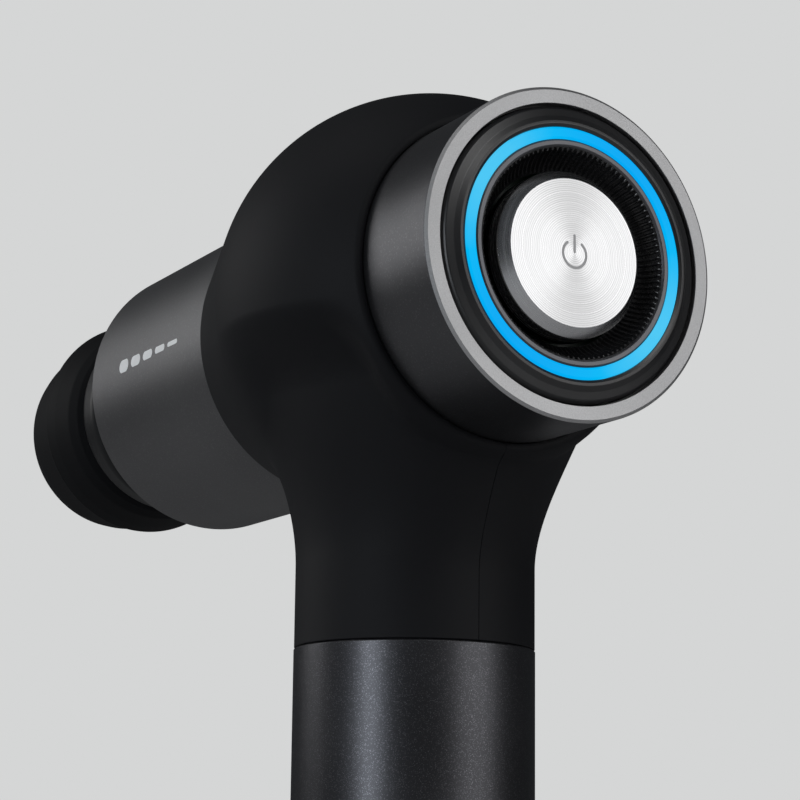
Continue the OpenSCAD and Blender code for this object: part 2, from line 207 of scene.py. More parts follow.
def m_gunmetal(name, dark, light, rough, speck, speck_gain):
    """Bead-blasted and anodised metal with fine bright specks."""
    t = Tree(name)
    big = t.noise(22, 3)
    fine = t.noise(3400, 3, 0.65)
    vor = t.node("ShaderNodeTexVoronoi")
    vor.inputs["Scale"].default_value = speck
    t.link(t.coord, vor.inputs["Vector"])
    sep = t.node("ShaderNodeSeparateColor")
    t.link(vor.outputs["Color"], sep.inputs[0])
    spark = t.remap(sep.outputs[0], 0, 1, 0.86, 1.0)
    base = t.ramp(big, [(0.35, dark), (0.65, light)])
    hot = tuple(min(1.0, c * speck_gain) for c in light)
    t.link(t.mix(spark, base, hot), t.bsdf.inputs["Base Color"])
    both = t.math("ADD", t.math("MULTIPLY", big, 0.4), t.math("MULTIPLY", fine, 0.6))
    t.link(t.remap(both, rough[0], rough[1]), t.bsdf.inputs["Roughness"])
    n1 = t.bump(fine, 0.22, 0.00005)
    t.link(t.bump(sep.outputs[1], 0.10, 0.00004, n1), t.bsdf.inputs["Normal"])
    return t.set(metal=0.92).mat


def m_blasted_rim():
    t = Tree("blasted_aluminium")
    big = t.noise(30, 2)
    fine = t.noise(4200, 3, 0.7)
    base = t.ramp(fine, [(0.30, (0.38, 0.38, 0.385)), (0.70, (0.48, 0.48, 0.485))])
    t.link(base, t.bsdf.inputs["Base Color"])
    t.link(t.remap(big, 0.44, 0.52), t.bsdf.inputs["Roughness"])
    t.link(t.bump(fine, 0.35, 0.00006), t.bsdf.inputs["Normal"])
    return t.set(metal=1.0).mat


def m_spun(name, base, rough, aniso, pitch, groove_shade=0.0):
    """Turned metal: concentric tool marks about the head axis, and optionally painted shade rings over the turned
    grooves with painted darker fans above and below the centre.
    """
    t = Tree(name)
    sep = t.node("ShaderNodeSeparateXYZ")
    t.link(t.coord, sep.inputs[0])
    dz = t.math("SUBTRACT", sep.outputs[2], H * MM)
    rad = t.math("SQRT", t.math("ADD", t.math("MULTIPLY", sep.outputs[1], sep.outputs[1]), t.math("MULTIPLY", dz, dz)))
    ring = t.node("ShaderNodeCombineXYZ")
    t.link(rad, ring.inputs[0])
    t.link(t.math("MULTIPLY", sep.outputs[0], 0.3), ring.inputs[1])
    marks = t.noise(pitch, 3, 0.7, ring.outputs[0])
    fine = t.noise(3000, 2, 0.5)
    if groove_shade:
        # painted shade: darker rings over the fine turned grooves, and darker fans straight above and below the centre
        # where the spun face's reflection is dim
        wave = t.math("SINE", t.math("MULTIPLY", rad, 2 * math.pi / 0.00036), 0.0)
        up2 = t.math("DIVIDE", t.math("MULTIPLY", dz, dz), t.math("ADD", t.math("MULTIPLY", rad, rad), 1e-8))
        painted_fan_shade = t.math("MULTIPLY", up2, t.math("MULTIPLY", up2, up2))
        dark = t.math("ADD", t.math("MULTIPLY", painted_fan_shade, 0.55), t.math("MULTIPLY", t.math("ADD", wave, 1.0), 0.5 * groove_shade))
        dark = t.math("ADD", dark, t.math("MULTIPLY", marks, 0.15))
        # base colour holds the painted shade together with the real tool marks
        t.link(t.ramp(dark, [(0.0, base), (1.0, tuple(c * 0.60 for c in base))]), t.bsdf.inputs["Base Color"])
    else:
        t.link(t.ramp(marks, [(0.32, tuple(c * 0.94 for c in base)), (0.68, base)]), t.bsdf.inputs["Base Color"])
    t.link(t.remap(marks, rough[0], rough[1]), t.bsdf.inputs["Roughness"])
    both = t.math("ADD", marks, t.math("MULTIPLY", fine, 0.1))
    t.link(t.bump(both, 0.05, 0.00001), t.bsdf.inputs["Normal"])
    tan = t.node("ShaderNodeTangent", direction_type="RADIAL", axis="X")
    t.link(tan.outputs[0], t.bsdf.inputs["Tangent"])
    return t.set(metal=1.0, aniso=aniso).mat


def m_light():
    """Diffused light guide: brighter and paler at two opposite parts of the ring."""
    t = Tree("light_guide")
    sep = t.node("ShaderNodeSeparateXYZ")
    t.link(t.coord, sep.inputs[0])
    ang = t.math("ARCTAN2", t.math("SUBTRACT", sep.outputs[2], H * MM), sep.outputs[1])
    wave = t.math("COSINE", t.math("MULTIPLY_ADD", ang, 2.0, -1.2))
    soft = t.noise(300, 2)
    fac = t.math("ADD", t.math("MULTIPLY_ADD", wave, 0.42, 0.45), t.math("MULTIPLY", soft, 0.12))
    col = t.ramp(fac, [(0.0, lin(0, 170, 249)), (0.55, lin(0, 188, 251)), (1.0, lin(84, 206, 248))])
    t.link(col, t.bsdf.inputs["Emission Color"])
    t.link(t.mix(soft, (0.0, 0.015, 0.03), (0.0, 0.02, 0.04)), t.bsdf.inputs["Base Color"])
    t.link(t.remap(soft, 0.30, 0.36), t.bsdf.inputs["Roughness"])
    return t.set(emit=0.94, spec=0.05).mat


M = {
    "soft": m_soft_touch(),
    "cap": m_gunmetal("cap_anodised", (0.075, 0.075, 0.080), (0.095, 0.095, 0.100), (0.36, 0.46), 5200, 1.25),
    "rim": m_blasted_rim(),
    "handle": m_gunmetal("handle_anodised", (0.060, 0.060, 0.065), (0.074, 0.074, 0.080), (0.32, 0.42), 9000, 2.6),
    "sleeve": m_gunmetal("sleeve_anodised", (0.120, 0.120, 0.124), (0.145, 0.145, 0.148), (0.40, 0.50), 5200, 1.25),
    "bezel": surface("bezel_satin", (0.009, 0.009, 0.010), (0.013, 0.013, 0.014), (0.30, 0.37), 0.0, 60, 4000, 0.08, spec=0.6),
    "trim": surface("trim_grey", (0.085, 0.087, 0.095), (0.12, 0.122, 0.13), (0.30, 0.38), 0.9, 60, 3500, 0.1),
    "funnel": surface("funnel_gloss_black", (0.005, 0.005, 0.0055), (0.010, 0.010, 0.011), (0.22, 0.30), 0.0, 60, 3000, 0.05, spec=0.6, coat=0.35, coat_rough=0.15),
    "light": m_light(),
    "face": m_spun("spun_face", (0.70, 0.70, 0.705), (0.26, 0.32), 0.65, 5200, 0.6),
    "side": m_spun("turned_side", (0.66, 0.66, 0.67), (0.20, 0.30), 0.7, 2400),
    "icon": surface("etched_mark", (0.36, 0.36, 0.365), (0.42, 0.42, 0.425), (0.5, 0.6), 0.6, 300, 5000, 0.2),
    "rubber": surface("rubber_black", (0.0042, 0.0044, 0.0052), (0.0065, 0.0067, 0.0076), (0.60, 0.70), 0.0, 35, 4200, 0.15, spec=0.12),
    "gloss": surface("collar_black", (0.007, 0.0072, 0.008), (0.010, 0.0102, 0.011), (0.36, 0.44), 0.0, 40, 3800, 0.06, spec=0.22),
    "print": surface("printed_white", (0.90, 0.90, 0.90), (0.96, 0.96, 0.96), (0.45, 0.55), 0.0, 200, 4000, 0.08),
    "plastic": surface("moulded_black", (0.010, 0.010, 0.011), (0.016, 0.016, 0.017), (0.42, 0.55), 0.0, 50, 2400, 0.2),
    "steel": surface("machined_steel", (0.48, 0.48, 0.49), (0.60, 0.60, 0.61), (0.24, 0.36), 1.0, 60, 2500, 0.12),
    "alu": surface("machined_aluminium", (0.56, 0.57, 0.58), (0.68, 0.69, 0.70), (0.32, 0.44), 1.0, 60, 2200, 0.15),
    "bronze": surface("sintered_bronze", (0.36, 0.24, 0.10), (0.48, 0.33, 0.15), (0.42, 0.56), 1.0, 120, 3200, 0.3),
    "copper": surface("enamelled_copper", (0.40, 0.13, 0.05), (0.56, 0.21, 0.09), (0.26, 0.38), 0.9, 90, 2600, 0.3),
    "iron": surface("laminated_iron", (0.12, 0.12, 0.125), (0.20, 0.20, 0.205), (0.42, 0.56), 0.9, 80, 3000, 0.3),
    "board": surface("circuit_board", (0.004, 0.030, 0.014), (0.008, 0.050, 0.022), (0.32, 0.44), 0.0, 70, 1800, 0.2, coat=0.2, coat_rough=0.2),
    "wrap": surface("cell_wrap", (0.010, 0.060, 0.15), (0.016, 0.085, 0.20), (0.28, 0.38), 0.0, 60, 2000, 0.1),
    "foam": surface("damper_rubber", (0.012, 0.012, 0.012), (0.020, 0.020, 0.020), (0.65, 0.8), 0.0, 60, 1500, 0.4),
}


# --------------------------------------------------------------- mesh helpers
def fillet(corners, closed=True, n=6):
    """Rounds a profile. corners are (a, b, radius); returns points and outward unit normals."""
    c = np.array([(p[0], p[1]) for p in corners], float)
    rad = [p[2] if len(p) > 2 else 0.05 for p in corners]
    m = len(c)
    area = 0.5 * np.sum(c[:, 0] * np.roll(c[:, 1], -1) - np.roll(c[:, 0], -1) * c[:, 1])
    s = 1.0 if area > 0 else -1.0
    right = lambda d: np.array([d[1], -d[0]]) * s
    P, N = [], []
    for i in range(m):
        if not closed and i in (0, m - 1):
            j = 1 if i == 0 else m - 2
            d = (c[j] - c[i]) * (1 if i == 0 else -1)
            d = d / np.linalg.norm(d)
            P.append(c[i])
            N.append(right(d))
            continue
        a, b = c[i] - c[i - 1], c[(i + 1) % m] - c[i]
        la, lb = np.linalg.norm(a), np.linalg.norm(b)
        a, b = a / la, b / lb
        turn = math.atan2(a[0] * b[1] - a[1] * b[0], a @ b)
        if abs(turn) < 1e-4:
            P.append(c[i])
            N.append(right(a))
            continue
        tl = min(rad[i] * math.tan(abs(turn) / 2), 0.46 * la, 0.46 * lb)
        r = tl / math.tan(abs(turn) / 2)
        n1 = right(a)
        convex = turn * s > 0
        start = c[i] - a * tl
        centre = start - n1 * r if convex else start + n1 * r
        k = max(2, int(n * min(1.0, abs(turn) / 0.5)))
        for q in range(k + 1):
            f = turn * q / k
            nq = np.array([n1[0] * math.cos(f) - n1[1] * math.sin(f), n1[0] * math.sin(f) + n1[1] * math.cos(f)])
            P.append(centre + nq * r if convex else centre - nq * r)
            N.append(nq)
    return np.array(P), np.array(N)


def build(name, verts, faces, normals=None, mats=(), index=None):
    """Mesh object from millimetre points in the head or world frame."""
    me = bpy.data.meshes.new(name)
    me.from_pydata([tuple(v) for v in np.asarray(verts) * MM], [], [tuple(int(i) for i in f) for f in faces])
    for m in mats:
        me.materials.append(m)
    if index is not None:
        me.polygons.foreach_set("material_index", np.asarray(index, np.int32))
    me.polygons.foreach_set("use_smooth", [True] * len(me.polygons))
    me.update()
    if normals is not None:
        n = np.asarray(normals, float)
        n = n / np.maximum(np.linalg.norm(n, axis=1, keepdims=True), 1e-12)
        me.normals_split_custom_set_from_vertices([tuple(v) for v in n])
    ob = bpy.data.objects.new(name, me)
    bpy.context.scene.collection.objects.link(ob)
    return ob


def lathe(name, P, N, mats, axis="x", seg=224, closed=True, pick=None, at=None):
    """Turns a profile of (along, radius) points about the X or Z axis into a watertight solid."""
    at = np.array([0.0, 0.0, H]) if at is None else np.array(at, float)
    ang = np.arange(seg) * 2 * math.pi / seg
    ca, sa = np.cos(ang), np.sin(ang)
    verts, norms, ids = [], [], []
    for (x, r), (nx, nr) in zip(P, N):
        if r < 1e-6:
            ids.append([len(verts)] * seg)
            verts.append((x, 0, 0) if axis == "x" else (0, 0, x))
            norms.append((nx, 0, 0) if axis == "x" else (0, 0, nx))
            continue
        k = len(verts)
        ids.append(list(range(k, k + seg)))
        for c, s in zip(ca, sa):
            verts.append((x, r * c, r * s) if axis == "x" else (r * c, r * s, x))
            norms.append((nx, nr * c, nr * s) if axis == "x" else (nr * c, nr * s, nx))
    faces, index = [], []
    m = len(P)
    for i in range(m if closed else m - 1):
        j = (i + 1) % m
        mi = pick((P[i][0] + P[j][0]) / 2, (P[i][1] + P[j][1]) / 2) if pick else 0
        A, B = ids[i], ids[j]
        for q in range(seg):
            w = (q + 1) % seg
            f = [A[q], A[w], B[w], B[q]]
            f = [v for n, v in enumerate(f) if v != f[n - 1]]
            if len(f) > 2:
                faces.append(f)
                index.append(mi)
    V, Nn = np.array(verts), np.array(norms)
    k = len(faces) // 2
    f = faces[k]
    fn = np.cross(V[f[1]] - V[f[0]], V[f[2]] - V[f[0]])
    if fn @ Nn[f].mean(0) < 0:
        faces = [list(reversed(f)) for f in faces]
    return build(name, V + at, faces, Nn, mats, index)


def put(ob, body, *nodes):
    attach(ob, body)
    if nodes:
        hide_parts(*nodes)
    return ob


def arc_pts(cx, cr, r, a0, a1, n):
    return [(cx + r * math.cos(math.radians(a0 + (a1 - a0) * i / n)), cr + r * math.sin(math.radians(a0 + (a1 - a0) * i / n))) for i in range(n + 1)]


# ------------------------------------------------------------ housing shells
def sst(t):
    t = np.clip(t, 0, 1)
    return t * t * (3 - 2 * t)


HC, HR, HA = -4.407, 40.933, 0.336  # round head: centre on the axis, radius, front taper
HCA, HSA = math.cos(HA), math.sin(HA)
NECK_R = 22.42


def head_field(p):
    """Signed field of the moulded housing, zero on its skin (head frame, mm)."""
    X, Y, Z = p[:, 0], p[:, 1], p[:, 2]
    rear = 1 / (1 + np.exp(np.clip(X / 4.0, -40, 40)))
    lip = sst((X + 31.0) / 8)
    squeeze = 1 + 0.275 * sst((-Z - 6.6) / 13) * rear * lip
    rho = np.hypot(Y * squeeze, Z)
    ds = np.hypot(X - HC, rho) - HR
    dc = (X - HC) * HSA + rho * HCA - HR
    a = np.where((X - HC) * HCA - rho * HSA > 0, dc, ds)
    b = np.hypot(X, Y) - NECK_R
    b = np.where(Z < 0, b, np.maximum(b, Z))
    ra = 14.0
    rb = 6.08 * (1 - rear) + 12.5 * rear
    rb = rb * lip + 6.5 * (1 - lip)
    f = 1 - np.hypot(np.maximum(1 - a / ra, 0), np.maximum(1 - b / rb, 0))
    out = ((a > ra) | (b > rb)) & (np.minimum(a, b) > 0)
    return np.where(out, np.minimum(a / ra, b / rb), f) * ra


def head_grad(p, e=0.01):
    g = np.zeros_like(p)
    for k in range(3):
        d = np.zeros(3)
        d[k] = e
        g[:, k] = (head_field(p + d) - head_field(p - d)) / (2 * e)
    return g


def snap(p, free, rounds=12):
    """Moves points onto the skin along the field's slope, in their free directions only."""
    for _ in range(rounds):
        g = head_grad(p) * free
        p = p - np.clip(head_field(p) / np.maximum((g * g).sum(1), 1e-6), -2, 2)[:, None] * g
    return p


def shell_half(slant):
    """One half of the clamshell (+Y side) as a closed shell: skin, rolled edges, inner wall.

    slant leans the parting face across the wall, so the two halves overlap and no light passes between them."""
    h = 0.92
    e_rear, e_front, e_seam, e_neck = 0.22, 0.22, 0.055, 0.22
    y_seam = 0.045
    x0, x1 = LIP_X0 + 0.45, LIP_X1 - e_front
    nx = int(round((x1 - x0) / h))
    hx = (x1 - x0) / nx
    xs = x0 - hx / 2 + hx * np.arange(nx + 2)
    y0 = y_seam + e_seam
    ys = y0 - h / 2 + h * np.arange(int(43 / h) + 2)
    z0 = NECK_Z + e_neck
    zs = z0 - h / 2 + h * np.arange(int((42.5 - z0) / h) + 2)
    G = np.stack(np.meshgrid(xs, ys, zs, indexing="ij"), -1)
    V = head_field(G.reshape(-1, 3)).reshape(G.shape[:3])
    S = V < 0
    ni, nj, nk = S.shape
    acc = np.zeros((ni - 1, nj - 1, nk - 1, 3))
    cnt = np.zeros((ni - 1, nj - 1, nk - 1))
    edges = {}
    for ax in range(3):
        sl0 = [slice(None)] * 3
        sl1 = [slice(None)] * 3
        sl0[ax], sl1[ax] = slice(0, -1), slice(1, None)
        a, b = V[tuple(sl0)], V[tuple(sl1)]
        cross = (a < 0) != (b < 0)
        t = np.where(cross, a / np.where(cross, a - b, 1), 0)
        pt = G[tuple(sl0)] * (1 - t[..., None]) + G[tuple(sl1)] * t[..., None]
        edges[ax] = (cross, a < 0)
        o1, o2 = [k for k in range(3) if k != ax]
        for d1 in (0, 1):
            for d2 in (0, 1):
                src = [slice(None)] * 3
                dst = [slice(None)] * 3
                for o, d in ((o1, d1), (o2, d2)):
                    n = S.shape[o]
                    src[o] = slice(d, n - 1 + d)
                acc[tuple(dst)] += np.where(cross[tuple(src)][..., None], pt[tuple(src)], 0)
                cnt[tuple(dst)] += cross[tuple(src)]
    used = cnt > 0
    ids = -np.ones(used.shape, int)
    ids[used] = np.arange(used.sum())
    P = acc[used] / cnt[used][:, None]
    cell = np.argwhere(used)
    quads = []
    for ax in range(3):
        cross, neg = edges[ax]
        o1, o2 = [(1, 2), (2, 0), (0, 1)][ax]
        w = np.argwhere(cross)
        ok = (w[:, o1] > 0) & (w[:, o2] > 0) & (w[:, o1] < S.shape[o1] - 1) & (w[:, o2] < S.shape[o2] - 1)
        w = w[ok]
        q = []
        for d1, d2 in ((1, 1), (0, 1), (0, 0), (1, 0)):
            c = w.copy()
            c[:, o1] -= d1
            c[:, o2] -= d2
            q.append(ids[c[:, 0], c[:, 1], c[:, 2]])
        q = np.stack(q, 1)
        flip = ~neg[w[:, 0], w[:, 1], w[:, 2]]
        q[flip] = q[flip][:, ::-1]
        quads.append(q)
    Q = np.concatenate(quads)
    onx0, onx1 = cell[:, 0] == 0, cell[:, 0] == nx
    ony, onz = cell[:, 1] == 0, cell[:, 2] == 0
    keep = np.ones(len(Q), bool)
    for flag in (onx0, onx1, ony, onz):
        keep &= ~flag[Q].all(1)
    Q = Q[keep]
    # drop unused vertices
    live = np.unique(Q)
    remap = -np.ones(len(P), int)
    remap[live] = np.arange(len(live))
    Q = remap[Q]
    P = P[live]
    onx0, onx1, ony, onz = onx0[live], onx1[live], ony[live], onz[live]
    free = np.ones_like(P)
    free[onx0 | onx1, 0] = 0
    free[ony, 1] = 0
    free[onz, 2] = 0

    def pin(p):
        p = p.copy()
        p[onx0, 0] = x0
        p[onx1, 0] = x1
        p[ony, 1] = y0
        p[onz, 2] = z0
        return p

    P = snap(pin(P), free)
    # edges and boundary
    E = np.concatenate([Q[:, [0, 1]], Q[:, [1, 2]], Q[:, [2, 3]], Q[:, [3, 0]]])
    key = np.sort(E, 1)
    uniq, inv, num = np.unique(key, axis=0, return_inverse=True, return_counts=True)
    open_e = E[num[inv.ravel()] == 1]
    edge_v = np.zeros(len(P), bool)
    edge_v[open_e.ravel()] = True
    stuck = (free.sum(1) <= 1)
    for _ in range(14):
        acc2, n2 = np.zeros_like(P), np.zeros(len(P))
        inner = uniq
        for a, b in ((0, 1), (1, 0)):
            okk = ~edge_v[inner[:, a]]
            np.add.at(acc2, inner[okk, a], P[inner[okk, b]])
            np.add.at(n2, inner[okk, a], 1)
        for a, b in ((0, 1), (1, 0)):
            np.add.at(acc2, open_e[:, a], P[open_e[:, b]])
            np.add.at(n2, open_e[:, a], 1)
        avg = acc2 / np.maximum(n2, 1)[:, None]
        move = (avg - P) * 0.5
        move[stuck] = 0
        P = snap(pin(P + move * free), free, 4)
    nrm = head_grad(P)
    nrm /= np.linalg.norm(nrm, axis=1, keepdims=True)
    # weld doubles that fell on one corner
    order = {}
    weld = np.arange(len(P))
    for i in np.where(stuck)[0]:
        k = tuple(np.round(P[i], 3))
        weld[i] = order.setdefault(k, i)
    Q = weld[Q]
    faces = []
    for q in Q:
        f = [int(v) for n, v in enumerate(q) if v != q[n - 1]]
        if len(set(f)) == len(f) and len(f) > 2:
            faces.append(f)
    # ordered boundary loop, following the faces' own direction
    nxt = {}
    seen = {}
    for f in faces:
        for n in range(len(f)):
            seen[(f[n - 1], f[n])] = True
    for a, b in seen:
        if (b, a) not in seen:
            nxt[a] = b
    start = next(iter(nxt))
    loop = [start]
    while True:
        c = nxt[loop[-1]]
        if c == start or len(loop) > len(nxt):
            break
        loop.append(c)
    loop = np.array(loop)
    # thickness of the wall, thin at the open lips
    X, Z = P[:, 0], P[:, 2]
    thick = 0.62 + 1.7 * sst((X - LIP_X0) / 7)
    thick = np.minimum(thick, 0.46 + 1.9 * sst((LIP_X1 - X) / 10))
    thick = np.minimum(thick, 1.5)
    inner_n = nrm.copy()
    inner_n[onx0 | onx1, 0] = 0
    inner_n[ony, 1] = 0
    inner_n[onz, 2] = 0
    inner_n /= np.maximum(np.linalg.norm(inner_n, axis=1, keepdims=True), 1e-9)
    V0 = [P]
    N0 = [nrm]
    count = len(P)
    F = [list(f) for f in faces]
    # rolled edge: quarter turn from the skin to the parting plane
    out = np.zeros((len(loop), 3))
    L = P[loop]
    out[onx0[loop], 0] = -e_rear
    out[onx1[loop], 0] = e_front
    out[ony[loop], 1] = -e_seam
    out[onz[loop], 2] = -e_neck
    size = np.linalg.norm(out, axis=1, keepdims=True)
    dirn = out / size
    ln = nrm[loop]
    lean = (ln * dirn).sum(1, keepdims=True)  # how far the skin already turns to the parting plane
    ln = ln - lean * dirn
    flat = np.linalg.norm(ln, axis=1, keepdims=True)
    ln = ln / flat
    f0 = np.arctan2(lean, flat)
    rear = onx0[loop][:, None]
    r_here = np.hypot(L[:, 1], L[:, 2])[:, None]
    gap_r = CAP_R + 0.25
    roll = np.where(rear, 1.45, size)
    f1 = np.where(rear, np.arccos(np.clip(np.cos(f0) - np.maximum(r_here - gap_r, 0.2) / roll, -0.85, 0.7)), math.pi / 2)
    f0 = np.where(rear, f0, 0.0)
    steps = 8
    sunk = L
    prev = loop
    for s in range(1, steps + 1):
        f = f0 + (f1 - f0) * s / steps
        pts = L - ln * roll * (np.cos(f0) - np.cos(f)) + dirn * roll * (np.sin(f) - np.sin(f0))
        pts[:, 1] = np.maximum(pts[:, 1], y_seam)
        ids_s = np.arange(count, count + len(loop))
        V0.append(pts)
        N0.append(ln * np.cos(f) + dirn * np.sin(f))
        for n in range(len(loop)):
            w = (n + 1) % len(loop)
            F.append([prev[w], prev[n], ids_s[n], ids_s[w]])
        prev = ids_s
        count += len(loop)
        sunk = pts
    # flat of the parting plane, or the wall beside the cap, down to the inner wall
    tk = thick[loop][:, None]
    inner_edge = np.where(rear, sunk - dirn * 1.1, L - ln * tk + dirn * size)
    inner_edge[:, 1] = np.maximum(inner_edge[:, 1], y_seam)
    inner_edge[ony[loop], 1] = y_seam + slant
    ids_s = np.arange(count, count + len(loop))
    V0.append(inner_edge)
    N0.append(np.where(rear, -ln, dirn))
    for n in range(len(loop)):
        w = (n + 1) % len(loop)
        F.append([prev[w], prev[n], ids_s[n], ids_s[w]])
    prev = ids_s
    count += len(loop)
    # inner wall
    inner_pts = P - nrm * thick[:, None]
    inner_pts[loop] = np.where(rear, L - nrm[loop] * 0.75, L - ln * (tk + 0.03))
    inner_pts[loop[ony[loop]], 1] = y_seam + slant
    off = count
    V0.append(inner_pts)
    N0.append(-nrm)
    for f in faces:
        F.append([v + off for v in reversed(f)])
    for n in range(len(loop)):
        w = (n + 1) % len(loop)
        F.append([prev[w], prev[n], loop[n] + off, loop[w] + off])
    V1 = np.concatenate(V0)
    N1 = np.concatenate(N0)
    # forget vertices that no face uses
    live = np.unique(np.concatenate([np.array(f) for f in F]))
    rm = -np.ones(len(V1), int)
    rm[live] = np.arange(len(live))
    return V1[live], [[int(rm[v]) for v in f] for f in F], N1[live]


hv, hf, hn = shell_half(-0.40)
up = np.array([0.0, 0.0, H])
left = build("housing_shell_left", hv + up, hf, hn, [M["soft"]])
put(left, "housing", "housing_left")
flip = np.array([1.0, -1.0, 1.0])
hv, hf, hn = shell_half(0.40)
right_ob = build("housing_shell_right", hv * flip + up, [list(reversed(f)) for f in hf], hn * flip, [M["soft"]])
put(right_ob, "housing", "housing_right")

# floor behind the rear cap, inside the shells
P, N = fillet([(-28.0, 27.0, 0.2), (-28.6, 30.3, 0.1), (-28.2, 30.6, 0.1), (-27.0, 30.6, 0.1), (-25.6, 27.0, 0.2)])
put(lathe("housing_floor", P, N, [M["plastic"]], seg=128), "housing")

# ------------------------------------------------------------------ rear cap
bx = CAP_X0
P, N = fillet([
    (bx, 26.57, 0.10), (bx, CAP_R - 0.55, 0.10), (bx + 0.42, CAP_R, 0.12), (CAP_X1, CAP_R, 0.12), (CAP_X1, CAP_R - 1.6, 0.1),
    (bx + 1.6, CAP_R - 1.6, 0.1), (bx + 1.6, 26.57, 0.1)])
put(lathe("rear_cap", P, N, [M["cap"], M["rim"]], seg=288,
          pick=lambda x, r: 1 if x < bx + 0.40 or (r < 26.7 and x < bx + 1.0) else 0), "housing", "rear_cap_ring")

P, N = fillet([
    (-51.05, BEZ_R - 0.15, 0.2), (-51.75, 25.55, 0.5), (-52.15, 24.2, 1.2), (-52.66, 23.25, 0.35), (-52.72, 22.75, 0.35), (-52.42, LED_R + 0.10, 0.12),
    (-47.6, LED_R + 0.05, 0.05), (-47.6, BEZ_R - 0.15, 0.1)])
put(lathe("bezel", P, N, [M["bezel"]], seg=288), "housing", "bezel_ring")

P, N = fillet([(-52.42, LED_R, 0.10), (-52.60, LED_R - 0.32, 0.4), (-52.60, 20.40, 0.4), (-52.42, 20.07, 0.10), (-47.8, 20.07, 0.05), (-47.8, LED_R, 0.05)])
put(lathe("light_guide_ring", P, N, [M["light"]], seg=288), "housing", "light_ring")

P, N = fillet([(-52.30, TRIM_R, 0.08), (-52.52, TRIM_R - 0.3, 0.2), (-52.52, 19.0, 0.25), (-52.2, 18.70, 0.12), (-47.8, 18.70, 0.05), (-47.8, TRIM_R, 0.05)])
put(lathe("inner_trim", P, N, [M["trim"]], seg=288), "housing", "inner_trim_ring")


def ribbed_ring():
    """Concave ring round the button with 108 moulded ribs standing on its face."""
    ribs, per = 108, 10
    seg = ribs * per
    a = np.linspace(0, 1, 18)
    sx, sr = -47.25 - 4.95 * a ** 1.25, 15.45 + 3.18 * (0.35 * a + 0.65 * np.sin(a * math.pi / 2))
    tx, tr = np.gradient(sx), np.gradient(sr)
    ln = np.hypot(tx, tr)
    n_x, n_r = -tr / ln, tx / ln  # points to the open side, towards the button
    fade = np.clip(np.minimum((a - a[0]) / 0.12, (a[-1] - a) / 0.06), 0, 1)
    th = np.arange(seg) * 2 * math.pi / seg
    ph = (np.arange(seg) % per) / per
    wave = np.clip(1.6 * np.cos(2 * math.pi * ph) - 0.25, -0.35, 1.0)
    wave = (wave + 0.35) / 1.35
    verts, ids = [], []
    for i in range(len(a)):
        d = 0.34 * wave * fade[i]
        x, r = sx[i] + n_x[i] * d, sr[i] + n_r[i] * d
        ids.append(np.arange(len(verts), len(verts) + seg))
        verts += list(np.stack([x, r * np.cos(th), r * np.sin(th)], 1))
    for x, r in ((sx[-1], 18.62), (-46.9, 18.62), (-46.9, sr[0])):
        ids.append(np.arange(len(verts), len(verts) + seg))
        verts += list(np.stack([np.full(seg, x), r * np.cos(th), r * np.sin(th)], 1))
    faces = []
    m = len(ids)
    for i in range(m):
        A, B = ids[i], ids[(i + 1) % m]
        for q in range(seg):
            w = (q + 1) % seg
            faces.append([B[q], B[w], A[w], A[q]])
    V = np.array(verts)
    f = faces[seg * 8]
    fn = np.cross(V[f[1]] - V[f[0]], V[f[2]] - V[f[0]])
    if fn[0] > 0:
        faces = [list(reversed(f)) for f in faces]
    ob = build("ribbed_ring", V + up, faces, None, [M["funnel"]])
    ob.data.set_sharp_from_angle(angle=math.radians(50))
    return ob


put(ribbed_ring(), "housing", "ribbed_funnel")


# -------------------------------------------------------------------- button
def button():
    pts, nrm = [(BUT_X - 0.004, 0.0)], [(-1.0, 0.0)]
    pitch, amp = 0.42, 0.0045
    r = 0.12
    while r < 12.75:
        ph = 2 * math.pi * r / pitch
        slope = amp * 2 * math.pi / pitch * math.sin(ph)
        pts.append((BUT_X - amp * math.cos(ph), r))
        q = math.hypot(1, slope)
        nrm.append((-1 / q, -slope / q * -1.0 if False else slope / q * -1.0))
        r += pitch / 6
    P, N = fillet([(BUT_X, 12.9, 0.02), (BUT_X, 13.07, 0.09), (BUT_X + 1.55, 14.72, 0.14), (BUT_X + 1.75, BUT_R, 0.10), (but_hi[0] - 2.6, BUT_R, 0.2), (but_hi[0] - 2.6, 4.0, 0.3),
                   (but_hi[0], 4.0, 0.3), (but_hi[0], 0.0, 0)], closed=False)
    pts = np.array(pts + [tuple(p) for p in P])
    nrm = np.array(nrm + [tuple(n) for n in N])
    return lathe("button_cap", pts, nrm, [M["face"], M["side"]], seg=288, closed=False,
                 pick=lambda x, r: 0 if (r < 12.98 and x < BUT_X + 0.3) else 1)


put(button(), "button", "power_button")


